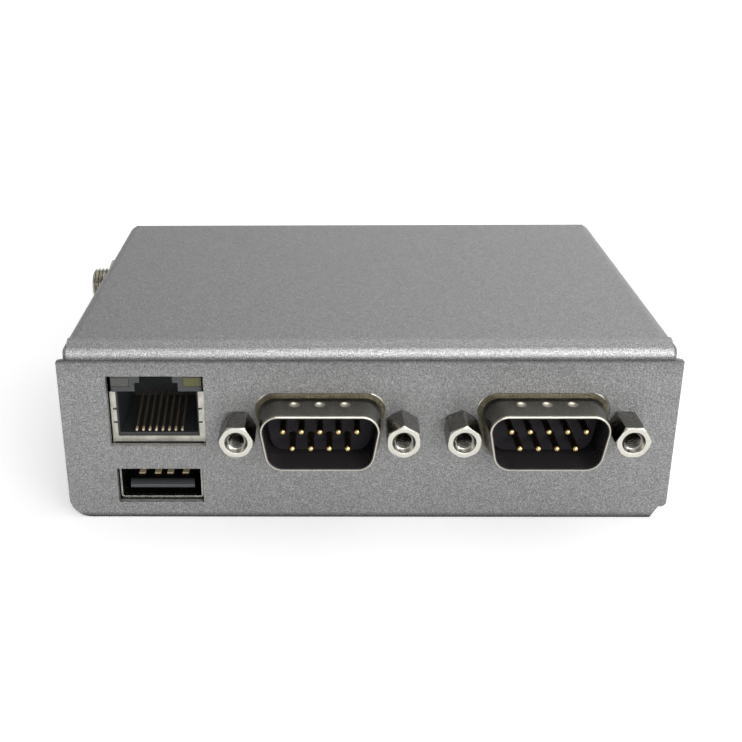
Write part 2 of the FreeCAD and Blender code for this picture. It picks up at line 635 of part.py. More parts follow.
def build_shell(name, x):
    body = new_body(name + "_shell_body")
    z = size.com_lift
    half_wide, half_tall = size.flange_width / 2, size.flange_tall / 2
    flange_back = panel_back + size.flange_thick
    rim = front - size.shell_reach
    slab(body, "Pad", name + "_flange", "y", panel_back, flange_back,
         [rectangle(x - half_wide, x + half_wide, z - half_tall, z + half_tall)])
    round_edges(body, name + "_flange_corners", size.flange_corner,
                lambda edge: runs_along(edge, "y", z=z - half_tall)
                or runs_along(edge, "y", z=z + half_tall))
    # a lug round each screw hole
    hole_xs = [x + side * size.jack_spacing / 2 for side in (-1, 1)]
    slab(body, "Pad", name + "_lugs", "y", panel_back, flange_back,
         circles=[(hole_x, z, size.flange_hole + size.flange_rim) for hole_x in hole_xs])
    slab(body, "Pocket", name + "_flange_holes", "y", panel_back - size.over,
         flange_back + size.over, circles=[(hole_x, z, size.flange_hole) for hole_x in hole_xs])
    d_loft(body, name + "_tube", x, [(panel_back, size.root_half, size.root_rise),
                                     (rim, size.rim_half, size.rim_rise)], size.shell_round)
    wall = size.shell_wall
    d_loft(body, name + "_cavity", x, [(flange_back, size.root_half - wall, size.root_rise - wall),
                                       (rim, size.rim_half - wall, size.rim_rise - wall)],
           size.shell_round - wall, True)
    round_edges(body, name + "_cavity_rounds", size.shell_round - wall,
                lambda edge: tube_edge(edge, rim, flange_back))
    round_edges(body, name + "_tube_rounds", size.shell_round,
                lambda edge: tube_edge(edge, rim, panel_back))
    # a soft root where the tube leaves the flange, and a smooth rim
    round_edges(body, name + "_root", size.root_round,
                lambda edge: outline_edge(edge, panel_back, x, size.root_half))
    round_edges(body, name + "_rim", size.rim_round,
                lambda edge: outline_edge(edge, rim, x, size.rim_half))
    # three dimples pressed into the top of the tube
    top = z + size.rim_rise + (size.root_rise - size.rim_rise) * (
        size.shell_reach - size.dimple_reach) / (size.shell_reach + size.sheet)
    dimples = [ball("%s_dimple_%d" % (name, number),
                    (x + step * size.dimple_spacing, front - size.dimple_reach,
                     top + size.dimple_radius - size.dimple_depth), size.dimple_radius)
               for number, step in enumerate((-1, 0, 1))]
    node(cut(name + "_shell_cut", body, dimples), name + "_shell")


def pin_places(x):
    """Centre of each pin, and how far behind the block it turns down."""
    upper = [(x + step * size.pin_pitch, size.com_lift + size.row_pitch / 2,
              size.low_row_run + size.row_step)
             for step in (-2, -1, 0, 1, 2)]
    lower = [(x + step * size.pin_pitch, size.com_lift - size.row_pitch / 2, size.low_row_run)
             for step in (-1.5, -0.5, 0.5, 1.5)]
    return upper + lower


def build_insulator(name, x):
    body = new_body(name + "_insulator_body")
    z = size.com_lift
    flange_back = panel_back + size.flange_thick
    block_end = flange_back + size.block_depth
    slip = size.shell_wall + size.plug_gap
    slab(body, "Pad", name + "_nose", "y", front - size.plug_face, flange_back,
         [trapezoid(x, z, size.rim_half - slip, size.rim_rise - slip, size.shell_round - slip)])
    round_edges(body, name + "_nose_rounds", size.shell_round - slip,
                lambda edge: tube_edge(edge, front - size.plug_face, flange_back))
    slab(body, "Pad", name + "_block", "y", flange_back, block_end,
         [rectangle(x - size.block_half, x + size.block_half, board_top, z + size.block_rise)])
    holes = [(px, pz, size.pin_radius + size.pin_gap) for px, pz, run in pin_places(x)]
    slab(body, "Pocket", name + "_pin_holes", "y", front - size.plug_face - size.over,
         block_end + size.over, circles=holes)
    node(body, name + "_insulator")


def build_pins(name, x):
    tip = front - size.shell_reach + size.pin_recess
    block_end = panel_back + size.flange_thick + size.block_depth
    pins = []
    for number, (px, pz, run) in enumerate(pin_places(x)):
        label = "%s_pin_%d" % (name, number)
        radius = size.pin_radius
        start, elbow = tip + radius, block_end + run
        pins.append(fuse(label, [
            ball(label + "_tip", (px, start, pz), radius),
            rod(label + "_straight", (px, start, pz), "+y", radius, elbow - start),
            ball(label + "_elbow", (px, elbow, pz), radius),
            rod(label + "_tail", (px, elbow, pz), "-z", radius, pz - board_top)]))
    group(name + "_pins", pins)


def build_jackscrews():
    z = size.com_lift
    posts, nuts = [], []
    flange_back = panel_back + size.flange_thick
    for number, (x, roll) in enumerate(zip(jack_places, jack_rolls)):
        label = "jack_%d" % number
        corner = size.hex_flats * hex_corner
        face = size.hex_flats / 2 * size.hex_face + size.hex_chamfer * 0.5
        hexed = hexagon(label + "_hex", (x, front, z), "-y", size.hex_flats, size.hex_reach, roll)
        middle = size.hex_reach - 2 * size.hex_chamfer
        turned = fuse(label + "_turned", [
            cone(label + "_back_chamfer", (x, front, z), "-y", face, corner, size.hex_chamfer),
            rod(label + "_barrel", (x, front - size.hex_chamfer, z), "-y", corner, middle),
            cone(label + "_front_chamfer", (x, front - size.hex_chamfer - middle, z), "-y",
                 corner, face, size.hex_chamfer)])
        stud = rod(label + "_stud", (x, front, z), "+y", size.stud_radius, size.stud_length)
        tip = front - size.hex_reach
        bore = rod(label + "_bore", (x, tip - size.over, z), "+y", size.jack_bore,
                   size.jack_bore_depth + size.over)
        sink = cone(label + "_sink", (x, tip, z), "+y", size.jack_sink, size.jack_bore,
                    size.jack_sink_depth)
        solid = fuse(label + "_blank", [common(label + "_head", hexed, turned), stud])
        posts.append(cut(label, solid, [bore, sink]))
        nut = hexagon("com_nut_%d_hex" % number, (x, flange_back, z), "+y", size.nut_flats,
                      size.nut_thick, roll)
        hole = rod("com_nut_%d_hole" % number, (x, flange_back - size.over, z), "+y",
                   size.stud_radius + size.screw_gap, size.nut_thick + 2 * size.over)
        nuts.append(cut("com_nut_%d" % number, nut, [hole]))
    group("jackscrews", posts)
    group("com_nuts", nuts)


# ---- Ethernet socket -----------------------------------------------------------------------

def build_lan():
    x = size.lan_x
    face = panel_back + size.lan_setback
    back = face + size.lan_depth
    sheet = size.lan_sheet
    inner = size.lan_half - sheet
    over = size.over
    # shield: a box of thin sheet, open below, with a frame round the plug opening
    body = new_body("lan_shield_body")
    slab(body, "Pad", "lan_box", "y", face, back,
         [rectangle(x - size.lan_half, x + size.lan_half, board_top, size.lan_top)])
    slab(body, "Pocket", "lan_box_inside", "y", face + sheet, back - sheet,
         [rectangle(x - inner, x + inner, board_top - over, size.lan_top - sheet)])
    open_half = size.lan_open_half
    slit = size.slit_tall / 2
    # plug opening with its side slits, drawn as one outline
    right_side, left_side = [], []
    for z in (size.slit_low, size.slit_high):
        deep = open_half + size.slit_deep
        right_side += [(x + open_half, z - slit), (x + deep, z - slit), (x + deep, z + slit),
                       (x + open_half, z + slit)]
        left_side = [(x - open_half, z + slit), (x - deep, z + slit), (x - deep, z - slit),
                     (x - open_half, z - slit)] + left_side
    outline = ([(x - open_half, size.lan_open_low), (x + open_half, size.lan_open_low)]
               + right_side
               + [(x + open_half, size.lan_open_top), (x + inner, size.lan_open_top),
                  (x + inner, size.lan_top - sheet), (x - inner, size.lan_top - sheet),
                  (x - inner, size.lan_open_top), (x - open_half, size.lan_open_top)]
               + left_side)
    slab(body, "Pocket", "lan_opening", "y", face - over, face + sheet + size.lan_gap / 2,
         [outline, rectangle(x - inner, x + inner, board_top - over, size.lan_frame_low)])
    # cut back beside the light windows and over the slot for the plug's latch
    aside = size.lan_half + over
    slot = size.latch_slot_half
    slab(body, "Pocket", "front_notches", "y", face - over, face + size.lan_notch, [[
        (x - aside, size.lan_open_top), (x + aside, size.lan_open_top),
        (x + aside, size.lan_top - sheet), (x + slot, size.lan_top - sheet),
        (x + slot, size.lan_top + over), (x - slot, size.lan_top + over),
        (x - slot, size.lan_top - sheet), (x - aside, size.lan_top - sheet)]])
    node(body, "lan_shield")
    # housing: fills the shield, its upper bar comes forward to the shield's face
    body = new_body("lan_housing_body")
    gap = size.lan_gap
    wide = inner - gap
    top = size.lan_top - sheet - gap
    slab(body, "Pad", "lan_block", "y", face + sheet + gap, back - sheet - gap,
         [rectangle(x - wide, x + wide, board_top, top)])
    slab(body, "Pad", "lan_bar", "y", face, face + sheet + gap,
         [rectangle(x - wide, x + wide, size.lan_open_top + gap, top)])
    cavity_end = face + size.lan_cavity_depth
    latch, slot = size.latch_half, size.latch_slot_half
    wall = size.lan_cavity_half
    slab(body, "Pocket", "plug_cavity", "y", face - over, cavity_end, [[
        (x - wall, size.lan_floor), (x + wall, size.lan_floor), (x + wall, size.lan_open_top),
        (x + latch, size.lan_open_top), (x + latch, size.latch_top), (x + slot, size.latch_top),
        (x + slot, top + over), (x - slot, top + over), (x - slot, size.latch_top),
        (x - latch, size.latch_top), (x - latch, size.lan_open_top),
        (x - wall, size.lan_open_top)]])
    led_inner = wide - size.led_wide
    led_high = size.led_low + size.led_tall
    pocket_gap = size.led_gap
    slab(body, "Pocket", "led_pockets", "y", face - over, face + size.led_long + pocket_gap, [
        rectangle(x + side_low, x + side_high, size.led_low - pocket_gap, led_high + pocket_gap)
        for side_low, side_high in ((-wide - over, -led_inner + pocket_gap),
                                    (led_inner - pocket_gap, wide + over))])
    node(body, "lan_housing")
    for label, low, high in (("lan_led_left", x - wide, x - led_inner),
                             ("lan_led_right", x + led_inner, x + wide)):
        node(block(label + "_pipe", (low, high), (face, face + size.led_long),
                   (size.led_low, led_high)), label)
    # eight contact wires, sloping up from the lip of the floor
    wires = []
    slope = math.degrees(math.atan2(size.wire_rise.number, size.wire_run.number))
    start_y = face + size.wire_front
    start_z = size.lan_floor + size.wire_radius + size.lan_gap
    for number in range(8):
        label = "lan_wire_%d" % number
        wire_x = x + (number - 3.5) * size.wire_pitch
        wire = bind(doc.addObject("Part::Cylinder", label), Radius=size.wire_radius,
                    Height=Length(math.hypot(size.wire_run.number, size.wire_rise.number),
                                  "sqrt(%s^2 + %s^2)" % (size.wire_run.text,
                                                         size.wire_rise.text)))
        place(wire, wire_x, start_y, start_z, turn((1, 0, 0), slope - 90))
        tip = ball(label + "_tip", (wire_x, start_y, start_z), size.wire_radius)
        wires.append(fuse(label + "_bent", [wire, tip]))
    group("lan_contacts", wires)


# ---- USB socket ----------------------------------------------------------------------------

def build_usb():
    x, z = size.usb_x, usb_z
    face = panel_back + size.usb_setback
    back = face + size.usb_depth
    sheet = size.usb_sheet
    rise = size.usb_tall / 2
    body = new_body("usb_shell_body")
    slab(body, "Pad", "usb_tube", "y", face, back,
         [rectangle(x - size.usb_half, x + size.usb_half, z - rise, z + rise)])
    round_edges(body, "usb_tube_rounds", size.usb_round,
                lambda edge: tube_edge(edge, face, back))
    inner, inner_rise = size.usb_half - sheet, rise - sheet
    slab(body, "Pocket", "usb_inside", "y", face - size.over, back - sheet,
         [rectangle(x - inner, x + inner, z - inner_rise, z + inner_rise)])
    round_edges(body, "usb_inside_rounds", size.usb_round - sheet,
                lambda edge: tube_edge(edge, face, back - sheet))
    node(body, "usb_shell")
    gap = size.tongue_gap
    root_rise = inner_rise - gap
    root_low = back - sheet - size.tongue_root
    tongue_low = z - inner_rise + size.tongue_lift
    tongue_top = tongue_low + size.tongue_thick
    body = new_body("usb_tongue_body")
    corner = size.usb_round
    slab(body, "Pad", "usb_root", "y", root_low, back - sheet - gap,
         [rectangle(x - inner + corner, x + inner - corner, z - root_rise, z + root_rise)])
    slab(body, "Pad", "usb_blade", "y", face + size.tongue_setback, root_low,
         [rectangle(x - size.tongue_half, x + size.tongue_half, tongue_low, tongue_top)])
    round_edges(body, "usb_blade_nose", size.tongue_chamfer,
                lambda edge: runs_along(edge, "x", y=face + size.tongue_setback), "Chamfer")
    node(body, "usb_tongue")
    strips = []
    for number, offset in enumerate((-size.usb_outer_pitch / 2, -size.usb_inner_pitch / 2,
                                     size.usb_inner_pitch / 2, size.usb_outer_pitch / 2)):
        half = size.usb_strip / 2
        strips.append(block("usb_strip_%d" % number, (x + offset - half, x + offset + half),
                            (face + size.usb_strip_setback, root_low),
                            (tongue_top, tongue_top + size.usb_strip_thick)))
    group("usb_contacts", strips)


# ---- antenna connector ---------------------------------------------------------------------

def build_antenna():
    y, z = antenna_y, size.sma_lift
    tip = -case_half - size.sma_reach
    flange_face = -wall_inner
    over = size.over
    tail_end = flange_face + size.sma_flange_thick + size.sma_tail_length
    neck = rod("sma_neck_rod", (flange_face, y, z), "-x", size.sma_neck, flange_face - tip)
    barrel = rod("sma_barrel", (tip, y, z), "+x", size.sma_thread, size.sma_free)
    flange = rod("sma_flange_disc", (flange_face, y, z), "+x", size.sma_flange,
                 size.sma_flange_thick)
    tail = rod("sma_tail_tube", (flange_face + size.sma_flange_thick, y, z), "+x",
               size.sma_tail, size.sma_tail_length)
    bore = rod("sma_bore_tool", (tip - over, y, z), "+x", size.sma_bore,
               size.sma_bore_depth + over)
    core_end = tip + size.sma_bore_depth
    channel = rod("sma_channel", (tip, y, z), "+x", size.sma_contact + size.screw_gap,
                  size.sma_bore_depth + 2)
    node(cut("sma", fuse("sma_blank", [neck, barrel, flange, tail]), [bore, channel]),
         "sma_body")
    core_face = tip + size.sma_core_face
    core = rod("sma_core_blank", (core_face, y, z), "+x", size.sma_core, core_end - core_face)
    passage = rod("sma_core_hole", (tip, y, z), "+x", size.sma_contact + size.screw_gap,
                  size.sma_bore_depth + over)
    node(cut("sma_core_cut", core, [passage]), "sma_insulator")
    contact = rod("sma_contact_blank", (core_face, y, z), "+x", size.sma_contact,
                  core_end - core_face + 2)
    socket = rod("sma_socket_hole", (core_face - over, y, z), "+x", size.sma_socket, over + 2.4)
    node(cut("sma_contact_cut", contact, [socket]), "sma_contact")
    clear = size.sma_neck + size.thread_gap
    washer = rod("washer_blank", (-case_half, y, z), "-x", size.washer_radius, size.washer_thick)
    washer_hole = rod("washer_hole", (-case_half + over, y, z), "-x", clear,
                      size.washer_thick + 2 * over)
    node(cut("washer", washer, [washer_hole]), "sma_washer")
    nut_face = -case_half - size.washer_thick
    nut_outer = hexagon("sma_nut_hex", (nut_face, y, z), "-x", size.sma_nut_flats,
                        size.sma_nut_thick, 8)
    nut_hole = rod("sma_nut_hole", (nut_face + over, y, z), "-x", clear,
                   size.sma_nut_thick + 2 * over)
    node(cut("sma_nut_cut", nut_outer, [nut_hole]), "sma_nut")
    # lead: along the wall's normal, one bend, down to the plug on the board
    bend_start = tail_end + size.lead_run
    plug_x = bend_start + size.lead_bend
    plug_top = board_top + size.plug_tall
    bend = bind(doc.addObject("Part::Torus", "lead_elbow"), Radius1=size.lead_bend,
                Radius2=size.lead_radius)
    bend.Angle3 = 90
    place(bend, bend_start, y, z - size.lead_bend, turn((1, 0, 0), 90))
    node(fuse("lead", [
        rod("lead_start", (tail_end, y, z), "+x", size.lead_radius, size.lead_run), bend,
        rod("lead_drop", (plug_x, y, plug_top), "+z", size.lead_radius,
            z - size.lead_bend - plug_top)]), "antenna_lead")
    node(rod("plug_disc", (plug_x, y, board_top), "+z", size.plug_radius, size.plug_tall),
         "antenna_plug")


# ---- power inlet ---------------------------------------------------------------------------

def build_inlet():
    x, z = size.inlet_x, inlet_z
    over = size.over
    body = block("inlet_block", (x - size.inlet_half, x + size.inlet_half),
                 (rear - size.inlet_depth, rear), (board_top, board_top + size.inlet_tall))
    bore = rod("inlet_bore_tool", (x, rear + over, z), "-y", size.inlet_bore,
               size.inlet_bore_depth + over)
    node(cut("inlet", body, [bore]), "inlet_body")
    floor = rear - size.inlet_bore_depth
    reach = size.inlet_bore_depth - size.inlet_pin_recess - size.inlet_pin
    node(fuse("inlet_pin_solid", [
        rod("inlet_pin_rod", (x, floor, z), "+y", size.inlet_pin, reach),
        ball("inlet_pin_tip", (x, floor + reach, z), size.inlet_pin)]), "inlet_pin")
    low = z - size.inlet_bore + size.inlet_spring
    node(block("inlet_spring_strip", (x - size.inlet_spring_half, x + size.inlet_spring_half),
               (floor, floor + size.inlet_spring_length), (low, low + size.inlet_spring)),
         "inlet_spring")


# ---- build, check, write -------------------------------------------------------------------

build_cover()
build_base()
build_fasteners()
build_board()
build_board_parts()
for port_name, port_x in ports.items():
    build_shell(port_name, port_x)
    build_insulator(port_name, port_x)
    build_pins(port_name, port_x)
build_jackscrews()
build_lan()
build_usb()
build_antenna()
build_inlet()
doc.recompute()

for item in doc.Objects:
    if "Invalid" in item.State or "Error" in item.State:
        raise RuntimeError("%s failed: %s" % (item.Name, item.State))
for item in nodes:
    if item.Shape.isNull() or not item.Shape.isValid() or not item.Shape.Solids:
        raise RuntimeError(item.Label + " has no valid shape")

os.makedirs("parts", exist_ok=True)
for item in nodes:
    item.Shape.exportStep("parts/%s.step" % item.Label)
print("%d nodes, %d solids" % (len(nodes), sum(len(item.Shape.Solids) for item in nodes)))
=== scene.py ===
import bpy
import math
import numpy as np
from mathutils import Matrix, Vector


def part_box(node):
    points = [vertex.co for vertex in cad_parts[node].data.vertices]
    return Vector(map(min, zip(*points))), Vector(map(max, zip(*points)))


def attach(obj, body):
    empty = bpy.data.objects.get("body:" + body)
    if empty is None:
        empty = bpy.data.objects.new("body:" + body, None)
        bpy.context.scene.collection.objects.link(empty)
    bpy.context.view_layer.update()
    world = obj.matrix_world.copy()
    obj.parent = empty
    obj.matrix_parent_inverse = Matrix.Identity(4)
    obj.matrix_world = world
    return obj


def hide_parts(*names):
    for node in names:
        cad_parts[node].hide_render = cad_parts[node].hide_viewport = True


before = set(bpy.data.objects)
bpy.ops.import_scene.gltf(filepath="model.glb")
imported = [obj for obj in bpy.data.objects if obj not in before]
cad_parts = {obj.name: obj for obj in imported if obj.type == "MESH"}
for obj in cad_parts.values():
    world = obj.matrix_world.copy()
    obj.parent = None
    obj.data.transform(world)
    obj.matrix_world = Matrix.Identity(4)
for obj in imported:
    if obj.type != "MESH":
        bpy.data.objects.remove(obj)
print("frame loaded:", len(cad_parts), "nodes")


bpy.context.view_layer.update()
mm = 0.001


# a Principled material with its plain numbers set straight on the shader
def newMaterial(name, settings):
    material = bpy.data.materials.new(name)
    material.use_nodes = True
    shader = material.node_tree.nodes["Principled BSDF"]
    for socket, value in settings.items():
        shader.inputs[socket].default_value = value
    return material, material.node_tree, shader


def addNode(tree, kind, **values):
    node = tree.nodes.new("ShaderNode" + kind)
    for name, value in values.items():
        setattr(node, name, value)
    return node


def objectCoords(tree, scale=(1, 1, 1)):
    # object coordinates, stretched by the given factors
    coords = addNode(tree, "TexCoord")
    mapping = addNode(tree, "Mapping")
    mapping.inputs["Scale"].default_value = scale
    tree.links.new(coords.outputs["Object"], mapping.inputs["Vector"])
    return mapping.outputs["Vector"]


def noiseOf(tree, vector, size, detail=2.0, roughness=0.5):
    # noise whose grains are about the given size in metres
    noise = addNode(tree, "TexNoise")
    noise.inputs["Scale"].default_value = 1 / size
    noise.inputs["Detail"].default_value = detail
    noise.inputs["Roughness"].default_value = roughness
    tree.links.new(vector, noise.inputs["Vector"])
    return noise.outputs["Fac"]


def rampOf(tree, value, stops):
    # a colour ramp, with each stop as its place and its colour
    ramp = addNode(tree, "ValToRGB")
    elements = ramp.color_ramp.elements
    while len(elements) < len(stops):
        elements.new(0.5)
    for element, (place, colour) in zip(elements, stops):
        element.position = place
        element.color = (*colour, 1)
    tree.links.new(value, ramp.inputs["Fac"])
    return ramp.outputs["Color"]


def rangeOf(tree, value, low, high, toLow, toHigh):
    # low to high becomes toLow to toHigh, held at both ends
    spread = addNode(tree, "MapRange")
    spread.inputs["From Min"].default_value = low
    spread.inputs["From Max"].default_value = high
    spread.inputs["To Min"].default_value = toLow
    spread.inputs["To Max"].default_value = toHigh
    tree.links.new(value, spread.inputs["Value"])
    return spread.outputs["Result"]


def bumpOf(tree, height, distance, strength, normal=None):
    bump = addNode(tree, "Bump")
    bump.inputs["Strength"].default_value = strength
    bump.inputs["Distance"].default_value = distance
    tree.links.new(height, bump.inputs["Height"])
    if normal is not None:
        tree.links.new(normal, bump.inputs["Normal"])
    return bump.outputs["Normal"]


def softEdges(tree, radius):
    # rounds the look of sharp edges by the given radius
    bevel = addNode(tree, "Bevel", samples=6)
    bevel.inputs["Radius"].default_value = radius
    return bevel.outputs["Normal"]


def grey(value, warm=0.0):
    return (value * (1 + warm), value, value * (1 - warm))


def fillSockets(tree, node, values):
    # a number or tuple goes straight into its socket, and an output is linked to it
    for socket, value in zip(node.inputs, values):
        if isinstance(value, (int, float, tuple)):
            socket.default_value = value
        else:
            tree.links.new(value, socket)


def mathOf(tree, operation, *values):
    node = addNode(tree, "Math", operation=operation)
    fillSockets(tree, node, values)
    return node.outputs[0]


def vectorOf(tree, operation, *values, output="Vector"):
    node = addNode(tree, "VectorMath", operation=operation)
    fillSockets(tree, node, values)
    return node.outputs[output]


def multiplied(tree, colour, factor):
    # the colour times a grey factor
    mix = addNode(tree, "VectorMath", operation="SCALE")
    tree.links.new(colour, mix.inputs[0])
    tree.links.new(factor, mix.inputs["Scale"])
    return mix.outputs["Vector"]


def axisOf(tree, axis):
    # one object coordinate, in metres
    coords = addNode(tree, "TexCoord")
    apart = addNode(tree, "SeparateXYZ")
    tree.links.new(coords.outputs["Object"], apart.inputs["Vector"])
    return apart.outputs[axis]


# Powder coat: fine grains of light and dark paint over a soft orange peel, with small glints.
# A painted highlight lightens the front bend, painted shade darkens the crease under that bend
# and a little of the panel's top, and a painted shadow darkens the foot.
coat = {"dark": 0.138, "mid": 0.26, "light": 0.485, "warm": 0.004, "grain": 0.17 * mm,
        "peel": 0.7 * mm, "height": 0.072 * mm, "metal": 0.55, "rough": 0.345, "spread": 0.12,
        "edge": 0.10 * mm, "creaseZ": 27.40 * mm, "creaseHalf": 0.60 * mm, "creasePaintedShade": 0.72,
        "panelY": (-29.6 * mm, -29.7 * mm), "shadeLow": 24.0 * mm, "shadeDark": 0.82,
        "bendZ": (27.8 * mm, 28.4 * mm), "bendY": (-29.3 * mm, -29.5 * mm), "bendPaintedHighlight": 1.42,
        "footZ": 0.9 * mm, "footPaintedShadow": 0.08}


def makeCoat():
    material, tree, shader = newMaterial("silverPowderCoat", {"Metallic": coat["metal"]})
    place = objectCoords(tree)
    y, z = axisOf(tree, "Y"), axisOf(tree, "Z")
    grains = noiseOf(tree, place, coat["grain"], 3, 0.75)
    colour = rampOf(tree, grains, [(0.34, grey(coat["dark"])),
                                   (0.5, grey(coat["mid"], coat["warm"])),
                                   (0.68, grey(coat["light"]))])
    # painted shade: a dark band along the crease under the front bend
    fromCrease = mathOf(tree, "ABSOLUTE", mathOf(tree, "SUBTRACT", z, coat["creaseZ"]))
    creaseShade = mathOf(tree, "MULTIPLY",
                    rangeOf(tree, fromCrease, 0, coat["creaseHalf"], coat["creasePaintedShade"], 0),
                    rangeOf(tree, y, *coat["panelY"], 0, 1))
    # painted highlight on the front bend, and painted shade a little over the panel's top
    bendHighlight = rangeOf(tree, z, *coat["bendZ"], 0, coat["bendPaintedHighlight"] - coat["shadeDark"])
    panelTopShade = rangeOf(tree, z, coat["shadeLow"], coat["creaseZ"], 0, 1 - coat["shadeDark"])
    paintedLightAndShade = mathOf(tree, "MULTIPLY", mathOf(tree, "SUBTRACT", bendHighlight, panelTopShade),
                    rangeOf(tree, y, *coat["bendY"], 0, 1))
    # the painted crease shade, the painted shadow along the foot, and the bend's painted light and
    # shade
    for factor in (rangeOf(tree, creaseShade, 0, 1, 1, 0),
                   rangeOf(tree, z, 0, coat["footZ"], coat["footPaintedShadow"], 1),
                   mathOf(tree, "ADD", paintedLightAndShade, 1.0)):
        colour = multiplied(tree, colour, factor)
    tree.links.new(colour, shader.inputs["Base Color"])
    gloss = noiseOf(tree, place, coat["grain"] * 1.3, 2)
    tree.links.new(rangeOf(tree, gloss, 0.3, 0.7, coat["rough"] - coat["spread"],
                           coat["rough"] + coat["spread"]), shader.inputs["Roughness"])
    peel = noiseOf(tree, place, coat["peel"], 2)
    normal = bumpOf(tree, peel, coat["height"], 0.5, softEdges(tree, coat["edge"]))
    normal = bumpOf(tree, grains, coat["height"], 0.8, normal)
    tree.links.new(normal, shader.inputs["Normal"])
    return material


# Plated sheet or turned metal: cloudy plating, fine drawn lines, softened edges. With a Y range,
# painted shade darkens the metal from the first Y to the second, down to least, as shade deep in
# a socket. With an attribute, painted shade darkens it by the mesh attribute of that name.
metalLook = {"cloud": 1.6 * mm, "line": 0.5 * mm, "spread": 0.08}


def makeMetal(name, colour, rough, amount=0.35, stretch=7.5, height=0.002, edge=0.08,
              shadeAlongY=None, shadeAttribute=None, least=0.0, metallic=1.0):
    material, tree, shader = newMaterial(name, {"Metallic": metallic})
    clouds = noiseOf(tree, objectCoords(tree), metalLook["cloud"], 3)
    cloudy = tuple(part * (1 - amount) for part in colour)
    plating = rampOf(tree, clouds, [(0.32, cloudy), (0.62, colour)])
    if shadeAlongY:
        left = rangeOf(tree, axisOf(tree, "Y"), shadeAlongY[0] * mm, shadeAlongY[1] * mm, 1, least)
        plating = multiplied(tree, plating, left)
    if shadeAttribute:
        depth = addNode(tree, "Attribute", attribute_name=shadeAttribute)
        left = rangeOf(tree, depth.outputs["Fac"], 0, 1, 1, least)
        plating = multiplied(tree, plating, left)
    tree.links.new(plating, shader.inputs["Base Color"])
    lines = noiseOf(tree, objectCoords(tree, (1, stretch, 1)), metalLook["line"], 3)
    tree.links.new(rangeOf(tree, lines, 0.3, 0.7, rough - metalLook["spread"],
                           rough + metalLook["spread"]), shader.inputs["Roughness"])
    normal = bumpOf(tree, lines, height * mm, 0.5, softEdges(tree, edge * mm))
    tree.links.new(normal, shader.inputs["Normal"])
    return material


# Moulded plastic: a very fine spark texture and slightly uneven gloss. With a Y range, painted
# shade darkens it and its gloss from the first Y to the second, down to least, and with a height
# also above that height, to a tone.
plasticLook = {"cloud": 2.5 * mm, "spread": 0.05, "height": 0.003 * mm, "edge": 0.08 * mm,
               "shadeAboveEdge": 0.1}


def makePlastic(name, colour, rough, grain=0.12, shadeAlongY=None, least=0.0, shadeAbove=None, **more):
    material, tree, shader = newMaterial(name, more)
    place = objectCoords(tree)
    spark = noiseOf(tree, place, grain * mm, 2)
    dark = tuple(part * 0.8 for part in colour)
    light = tuple(part * 1.2 + 0.002 for part in colour)
    tint = rampOf(tree, spark, [(0.35, dark), (0.65, light)])
    # painted shade, with less gloss, deeper along Y and above the height
    if shadeAlongY:
        left = rangeOf(tree, axisOf(tree, "Y"), shadeAlongY[0] * mm, shadeAlongY[1] * mm, 1, least)
        if shadeAbove:
            height, paintedTone = shadeAbove
            above = rangeOf(tree, axisOf(tree, "Z"), (height - plasticLook["shadeAboveEdge"]) * mm,
                            height * mm, 1, paintedTone)
            left = mathOf(tree, "MULTIPLY", left, above)
        tint = multiplied(tree, tint, left)
        tree.links.new(rangeOf(tree, left, 0, 1, 0, 0.5), shader.inputs["Specular IOR Level"])
    tree.links.new(tint, shader.inputs["Base Color"])
    clouds = noiseOf(tree, place, plasticLook["cloud"], 2)
    tree.links.new(rangeOf(tree, clouds, 0.3, 0.7, rough - plasticLook["spread"],
                           rough + plasticLook["spread"]), shader.inputs["Roughness"])
    normal = bumpOf(tree, spark, plasticLook["height"], 0.6,
                    softEdges(tree, plasticLook["edge"]))
    tree.links.new(normal, shader.inputs["Normal"])
    return material


# Solder mask: dark green varnish over faint tracks.
solderMask = {"tracks": 240, "gap": 0.03, "shift": 0.37, "bright": (0.014, 0.105, 0.048, 1),
              "dark": (0.012, 0.09, 0.04, 1), "edge": (0.03, 0.16, 0.07, 1), "height": 0.02 * mm}


def makeBoard():
    material, tree, shader = newMaterial("greenSolderMask", {"Coat Weight": 0.4,
                                                             "Coat Roughness": 0.15})
    place = objectCoords(tree, (1, 1, 0.2))
    tracks = addNode(tree, "TexBrick", offset=solderMask["shift"])
    tracks.inputs["Scale"].default_value = solderMask["tracks"]
    tracks.inputs["Mortar Size"].default_value = solderMask["gap"]
    tracks.inputs["Color1"].default_value = solderMask["dark"]
    tracks.inputs["Color2"].default_value = solderMask["bright"]
    tracks.inputs["Mortar"].default_value = solderMask["edge"]
    tree.links.new(place, tracks.inputs["Vector"])
    tree.links.new(tracks.outputs["Color"], shader.inputs["Base Color"])
    tree.links.new(rangeOf(tree, noiseOf(tree, place, 2 * mm), 0.3, 0.7, 0.3, 0.42),
                   shader.inputs["Roughness"])
    tree.links.new(bumpOf(tree, tracks.outputs["Fac"], solderMask["height"], 0.4),
                   shader.inputs["Normal"])
    return material


